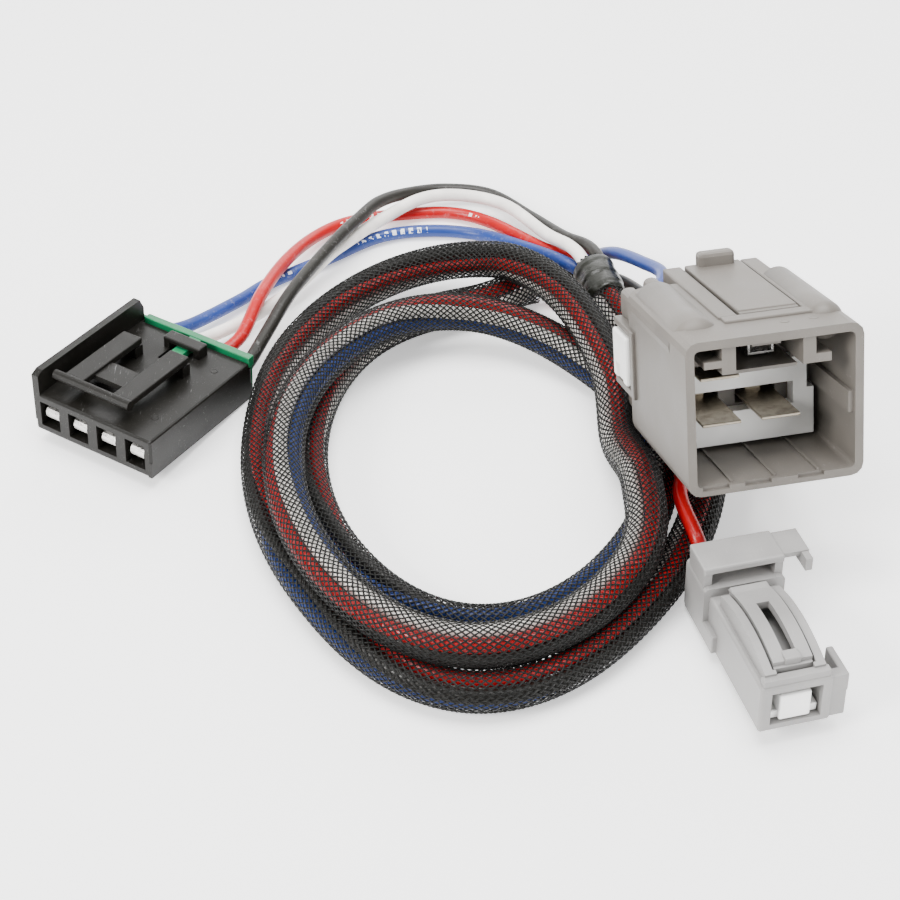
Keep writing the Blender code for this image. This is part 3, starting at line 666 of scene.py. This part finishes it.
def plastic(name, colour, roughness=0.42, grain=2600.0, depth=0.5, shine=0.4, corner_shade=0.35):
    """Injection-moulded plastic, with painted shade darkening its colour in corners and recesses."""
    made, tree, shader, where = base_material(name)
    skin = use_group(tree, MOULDED, Vector=where, Grain=grain, Depth=depth)
    tint = mix(tree, skin.outputs["Mottle"], shade(colour, 0.9), shade(colour, 1.07))
    tint = mix(tree, maths(tree, "MULTIPLY", skin.outputs["Scratch"], 0.35), tint,
               tuple(0.3 + 0.6 * c for c in colour))
    tint = mix(tree, maths(tree, "MULTIPLY", skin.outputs["Dust"], 0.4), tint, (0.55, 0.53, 0.5))
    # Painted shade: ambient occlusion darkens the base colour in corners and recesses, down to the
    # colour times the corner factor.
    corners = node(tree, "ShaderNodeAmbientOcclusion", samples=4)
    corners.inputs["Distance"].default_value = 0.004
    corner_shade_mix = remap(tree, corners.outputs["AO"], 0.2, 0.95, 0.72, 1.0)
    tint = mix(tree, corner_shade_mix, shade(colour, corner_shade), tint)
    tree.links.new(tint, shader.inputs["Base Color"])
    rough = maths(tree, "ADD", remap(tree, skin.outputs["Mottle"], 0, 1, -0.05, 0.06), roughness)
    rough = maths(tree, "ADD", rough, maths(tree, "MULTIPLY", skin.outputs["Scratch"], 0.12))
    tree.links.new(rough, shader.inputs["Roughness"])
    tree.links.new(bump(tree, skin.outputs["Height"], 0.35, 0.0001), shader.inputs["Normal"])
    shader.inputs["Specular IOR Level"].default_value = shine
    return made


def metal(name, colour, dark, roughness):
    """Stamped and plated contact metal."""
    made, tree, shader, where = base_material(name)
    skin = use_group(tree, STAMPED, Vector=where)
    tint = mix(tree, skin.outputs["Lines"], shade(colour, 0.85), colour)
    tint = mix(tree, maths(tree, "MULTIPLY", skin.outputs["Tarnish"], 0.5), tint, dark)
    tree.links.new(tint, shader.inputs["Base Color"])
    rough = remap(tree, skin.outputs["Tarnish"], 0, 1, roughness, roughness + 0.2)
    tree.links.new(rough, shader.inputs["Roughness"])
    tree.links.new(bump(tree, skin.outputs["Height"], 0.25, 0.00005), shader.inputs["Normal"])
    shader.inputs["Metallic"].default_value = 1.0
    shader.inputs["Anisotropic"].default_value = 0.4
    return made


def insulation(name, colour, print_colour=None, roughness=0.38):
    """Extruded wire insulation, with plain printed ticks on some colours."""
    made, tree, shader, where = base_material(name)
    along = node(tree, "ShaderNodeAttribute", attribute_name="along").outputs["Fac"]
    facing = node(tree, "ShaderNodeSeparateXYZ")
    geometry = node(tree, "ShaderNodeNewGeometry")
    tree.links.new(geometry.outputs["Normal"], facing.inputs[0])
    lean = maths(tree, "SUBTRACT", maths(tree, "MULTIPLY", facing.outputs[2], 0.72),
                 maths(tree, "MULTIPLY", facing.outputs[1], 0.69))
    skin = use_group(tree, CABLE, Vector=where, Along=along, Upward=lean)
    tint = mix(tree, skin.outputs["Streak"], shade(colour, 0.88), shade(colour, 1.08))
    tint = mix(tree, maths(tree, "MULTIPLY", skin.outputs["Scuff"], 0.3), tint,
               tuple(0.35 + 0.55 * c for c in colour))
    if print_colour:
        tint = mix(tree, maths(tree, "MULTIPLY", skin.outputs["Ticks"], 0.85), tint, print_colour)
    tree.links.new(tint, shader.inputs["Base Color"])
    rough = maths(tree, "ADD", maths(tree, "MULTIPLY", skin.outputs["Scuff"], 0.2), roughness)
    tree.links.new(rough, shader.inputs["Roughness"])
    tree.links.new(bump(tree, skin.outputs["Height"], 0.2, 0.0001), shader.inputs["Normal"])
    shader.inputs["Specular IOR Level"].default_value = 0.35
    return made


def yarn(name, colour):
    """Smooth monofilament yarn of the braid."""
    made, tree, shader, where = base_material(name)
    tone = remap(tree, noise(tree, where, 900.0, 2.0), 0.35, 0.65)
    fine = noise(tree, where, 7000.0, 2.0)
    tint = mix(tree, tone, shade(colour, 0.7), shade(colour, 1.4))
    tree.links.new(tint, shader.inputs["Base Color"])
    rough = remap(tree, fine, 0.3, 0.7, 0.34, 0.52)
    tree.links.new(rough, shader.inputs["Roughness"])
    tree.links.new(bump(tree, fine, 0.3, 0.00004), shader.inputs["Normal"])
    shader.inputs["Specular IOR Level"].default_value = 0.16
    shader.inputs["Sheen Weight"].default_value = 0.02
    shader.inputs["Sheen Roughness"].default_value = 0.4
    return made


def vinyl(name, colour):
    """Stretched adhesive tape: soft gloss and pulled lines."""
    made, tree, shader, where = base_material(name)
    skin = use_group(tree, MOULDED, Vector=where, Grain=900.0, Depth=0.6)
    pulled = node(tree, "ShaderNodeMapping", vector_type="POINT")
    tree.links.new(where, pulled.inputs["Vector"])
    pulled.inputs["Scale"].default_value = (0.12, 1.0, 0.3)
    lines = noise(tree, pulled.outputs[0], 900.0, 4.0, 0.65)
    tint = mix(tree, lines, shade(colour, 0.7), shade(colour, 1.5))
    tree.links.new(tint, shader.inputs["Base Color"])
    tree.links.new(remap(tree, lines, 0.3, 0.7, 0.22, 0.42), shader.inputs["Roughness"])
    height = maths(tree, "ADD", maths(tree, "MULTIPLY", lines, 0.7), skin.outputs["Height"])
    tree.links.new(bump(tree, height, 0.5, 0.0003), shader.inputs["Normal"])
    shader.inputs["Specular IOR Level"].default_value = 0.35
    shader.inputs["Coat Weight"].default_value = 0.08
    shader.inputs["Coat Roughness"].default_value = 0.2
    return made


LOOKS = {
    "black_plastic": plastic("black plastic", (0.006, 0.0054, 0.0042), 0.4, shine=0.24),
    "grey_plastic": plastic("warm grey plastic", (0.130, 0.118, 0.104), 0.46, 2200.0),
    "pale_plastic": plastic("pale grey plastic", (0.27, 0.263, 0.257), 0.46, 2200.0),
    "green_plastic": plastic("green plastic", (0.003, 0.15, 0.055), 0.38, 3000.0),
    # White plastic gets lighter painted corner shade than the other plastics.
    "white_plastic": plastic("white plastic", (0.93, 0.93, 0.91), 0.4, 3000.0, 0.3, corner_shade=0.8),
    "tin_plate": metal("tin plate", (0.66, 0.65, 0.63), (0.30, 0.29, 0.27), 0.24),
    "brass": metal("tinned brass", (0.46, 0.41, 0.33), (0.20, 0.16, 0.11), 0.3),
    "tape": vinyl("vinyl tape", (0.0085, 0.009, 0.006)),
    "braid": yarn("black yarn", (0.0045, 0.0045, 0.004)),
    "insulation_black": insulation("black insulation", (0.014, 0.0125, 0.010)),
    "insulation_blue": insulation("blue insulation", (0.014, 0.040, 0.20), (0.85, 0.88, 0.95)),
    "insulation_red": insulation("red insulation", (0.40, 0.0006, 0.003), (0.95, 0.9, 0.88), 0.32),
    "insulation_white": insulation("white insulation", (0.90, 0.86, 0.81)),
}

# ------------------------------------------------------------------ cable pieces

SWEEP = sweep_tree()
BRAID = braid_tree()


def add_wires():
    """The four wires, each in one length from plug to plug."""
    for colour, cavity, loose, tail, seat in WIRES:
        route = wire_route(colour, cavity, loose, tail, seat)
        look = "insulation_" + colour
        wire = grown("wire_" + colour, route, SWEEP, Radius=WIRE_DIAMETER / 2 * MM, Sides=WIRE_SIDES,
                     Material=LOOKS[look])
        far = "switch_wire_red" if colour == "red" else "vehicle_wire_" + colour
        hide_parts("controller_wire_" + colour, far)
        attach(wire, ROOT)


def add_rings(form, rings):
    """Join rings of points into one closed skin."""
    skins = [[form.verts.new(p) for p in ring] for ring in rings]
    for ring, following in zip(skins, skins[1:]):
        for j in range(len(ring)):
            k = (j + 1) % len(ring)
            form.faces.new((ring[j], ring[k], following[k], following[j])).smooth = True
    form.faces.new(skins[0])
    form.faces.new(skins[-1])


def add_braid(collar):
    """The braided sleeve in lengths that follow on from one another."""
    crossings = 2 * BRAID_YARNS
    step = BRAID_PITCH / crossings
    fine = even(SLEEVE, 1.0)
    total = route_length(fine)
    count = len(fine) - 1
    rows = int(total / BRAID_LENGTHS / step)
    rows -= rows % 2
    for part in range(BRAID_LENGTHS):
        low = part * rows * step
        high = total if part == BRAID_LENGTHS - 1 else low + rows * step
        route = fine[round(low / total * count):round(high / total * count) + 1]
        sleeve = grown("braid_%d" % (part + 1), route, BRAID,
                       Radius=(SLEEVE_DIAMETER / 2 - BRAID_SINK) * MM, Start=part * rows / crossings,
                       Material=LOOKS["braid"])
        if part == 0:
            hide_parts("sleeve_coil", "sleeve_start")
        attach(sleeve, ROOT)
        path = [tuple(world(p)) for p in even(route, 3.0)]


COLLAR_RADIUS = 5.75
COLLAR_SIDES = 48
TAPE_TURNS = 3.2
TAPE_LAP = 0.28                # the step from one turn of tape to the next
WRINKLE = 0.10
FRONT_TUCK = 1.5               # how far the ends are drawn in
BACK_TUCK = 0.5


def collar_radius(share, angle):
    """The tape's distance from the middle, at a share of its length and an angle round it."""
    lap = (share * TAPE_TURNS + angle / (2 * math.pi)) % 1.0
    radius = COLLAR_RADIUS + TAPE_LAP * lap + WRINKLE * math.sin(3 * angle + 9 * share)
    radius += WRINKLE * math.sin(7 * angle + 4.0 * share) * (0.4 + share)
    radius -= FRONT_TUCK * max(0.0, 0.10 - share) / 0.10
    return radius - BACK_TUCK * max(0.0, share - 0.94) / 0.06


def add_collar():
    """Tape wound round the end of the sleeve, with lapped turns and a wrinkled edge."""
    route = even(smooth(COLLAR_ROUTE[:3], 20), 0.5)
    form = bmesh.new()
    rings = []
    count = len(route)
    for i, point in enumerate(route):
        ahead = (route[min(i + 1, count - 1)] - route[max(i - 1, 0)]).normalized()
        side = ahead.cross(Vector((0, 0, 1))).normalized()
        up = side.cross(ahead)
        ring = []
        for j in range(COLLAR_SIDES):
            angle = 2 * math.pi * j / COLLAR_SIDES
            outward = side * math.cos(angle) + up * math.sin(angle)
            ring.append(world(point + outward * collar_radius(i / (count - 1), angle)))
        rings.append(ring)
    add_rings(form, rings)
    bmesh.ops.recalc_face_normals(form, faces=form.faces)
    mesh = bpy.data.meshes.new("collar")
    form.to_mesh(mesh)
    form.free()
    mesh.materials.append(LOOKS["tape"])
    collar = link("tape_collar", mesh)
    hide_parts("collar_controller")
    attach(collar, ROOT)
    return collar


add_wires()
add_braid(add_collar())

# ------------------------------------------------------------------ moulded details

VEHICLE_SHOULDERS = ((6.2, 33.6, 6.0), (37.4, 35.0, 4.6))     # across, up, radius
SHOULDER_FRONT = 8.0
SHOULDER_BACK = 43.0
PIN_MARKS = (
    ("vehicle", (26.0, 7.0, 37.5), 1.1), ("vehicle", (33.0, 7.0, 37.5), 1.1),
    ("controller", (32.5, 9.0, 11.5), 1.0), ("controller", (32.5, 34.0, 11.5), 1.0),
    ("controller", (5.0, 37.0, 11.5), 0.8),
)


def plug_mesh(name, plug, form, look):
    """Turn a bmesh in a plug's own millimetres into a piece that rides the harness."""
    place = Matrix.Scale(MM, 4) @ Matrix.Translation(DRAWING_ZERO) @ PLUGS[plug]
    bmesh.ops.recalc_face_normals(form, faces=form.faces)
    bmesh.ops.transform(form, matrix=place, verts=form.verts)
    mesh = bpy.data.meshes.new(name)
    form.to_mesh(mesh)
    form.free()
    mesh.materials.append(LOOKS[look])
    piece = link(name, mesh)
    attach(piece, ROOT)


def add_shoulders():
    """Round-topped shoulders on both sides of the vehicle plug's latch."""
    form = bmesh.new()
    for x, z, radius in VEHICLE_SHOULDERS:
        stations = [(SHOULDER_FRONT + 4.0 * (1 - math.cos(math.radians(a))),
                     math.sin(math.radians(a))) for a in range(8, 91, 9)]
        stations.append((SHOULDER_BACK, 1.0))
        add_rings(form, [[(x + radius * share * math.cos(2 * math.pi * j / 40), y,
                           z + radius * share * math.sin(2 * math.pi * j / 40))
                          for j in range(40)] for y, share in stations])
    plug_mesh("vehicle_plug_shoulders", "vehicle", form, "grey_plastic")


def add_pin_marks():
    """Shallow round ejector marks on flat moulded faces."""
    for plug, look in (("vehicle", "grey_plastic"), ("controller", "black_plastic")):
        form = bmesh.new()
        for owner, (x, y, z), radius in PIN_MARKS:
            if owner == plug:
                heights = ((z - 0.2, 1.0), (z + 0.06, 1.0), (z + 0.1, 0.94), (z + 0.1, 0.8),
                           (z + 0.04, 0.72))
                add_rings(form, [[(x + radius * share * math.cos(2 * math.pi * j / 28),
                                   y + radius * share * math.sin(2 * math.pi * j / 28), up)
                                  for j in range(28)] for up, share in heights])
        plug_mesh(plug + "_pin_marks", plug, form, look)


add_shoulders()
add_pin_marks()

# ------------------------------------------------------------------ the solids' own materials


def dress_solids():
    """Give each shown solid the detailed material of its slot."""
    slots = {part["node"]: part["material_slot"] for part in frame["record"]["subparts"]}
    for name, obj in frame["nodes"].items():
        obj.data.materials.clear()
        obj.data.materials.append(LOOKS[slots[name]])


dress_solids()

# ------------------------------------------------------------------ floor and light


def add_floor():
    """A pale floor that curves up behind the part."""
    form = bmesh.new()
    outline = [(-2.0, 0.0), (0.9, 0.0)]
    outline += [(0.9 + 0.6 * math.sin(math.radians(a)), 0.6 - 0.6 * math.cos(math.radians(a)))
                for a in range(6, 91, 6)]
    outline += [(1.5, 2.5)]
    rows = [[form.verts.new((x, y, z - 0.0002)) for y, z in outline] for x in (-3.0, 3.0)]
    for i in range(len(outline) - 1):
        form.faces.new((rows[0][i], rows[1][i], rows[1][i + 1], rows[0][i + 1]))
    mesh = bpy.data.meshes.new("floor")
    for face in form.faces:
        face.smooth = True
    form.to_mesh(mesh)
    form.free()
    floor = link("floor", mesh)
    made, tree, shader, where = base_material("floor")
    tone = noise(tree, where, 6.0, 2.0)
    tree.links.new(mix(tree, tone, (0.93, 0.93, 0.93), (0.97, 0.97, 0.97)),
                   shader.inputs["Base Color"])
    shader.inputs["Roughness"].default_value = 0.9
    shader.inputs["Specular IOR Level"].default_value = 0.1
    shader.inputs["Emission Color"].default_value = (1.0, 1.0, 1.0, 1.0)
    shader.inputs["Emission Strength"].default_value = 0.6
    mesh.materials.append(made)


def add_light(name, place, aim, size, power, colour=(1, 1, 1)):
    """One soft area lamp."""
    data = bpy.data.lights.new(name, "AREA")
    data.shape = "RECTANGLE"
    data.size, data.size_y = size
    data.energy = power
    data.color = colour
    lamp = link(name, data)
    lamp.location = place
    lamp.rotation_euler = (Vector(aim) - Vector(place)).to_track_quat("-Z", "Y").to_euler()


def add_lights():
    """A big soft top light, a key from the left and a fill from the right."""
    world_light = bpy.data.worlds.new("studio")
    world_light.use_nodes = True
    back = world_light.node_tree.nodes["Background"]
    back.inputs["Color"].default_value = (1.0, 1.0, 1.0, 1.0)
    back.inputs["Strength"].default_value = 0.62
    bpy.context.scene.world = world_light
    add_light("top", (0.0, 0.1, 0.9), (0.0, 0.02, 0.0), (0.8, 0.6), 18.0)
    add_light("key", (-0.7, -0.45, 0.6), (0.0, 0.0, 0.02), (0.35, 0.28), 13.0, (1.0, 0.99, 0.97))
    add_light("fill", (0.7, -0.6, 0.35), (0.05, 0.0, 0.03), (0.5, 0.4), 5.0)
    add_light("rim", (0.1, 0.8, 0.5), (0.0, 0.05, 0.02), (0.8, 0.25), 3.0)


add_floor()
add_lights()
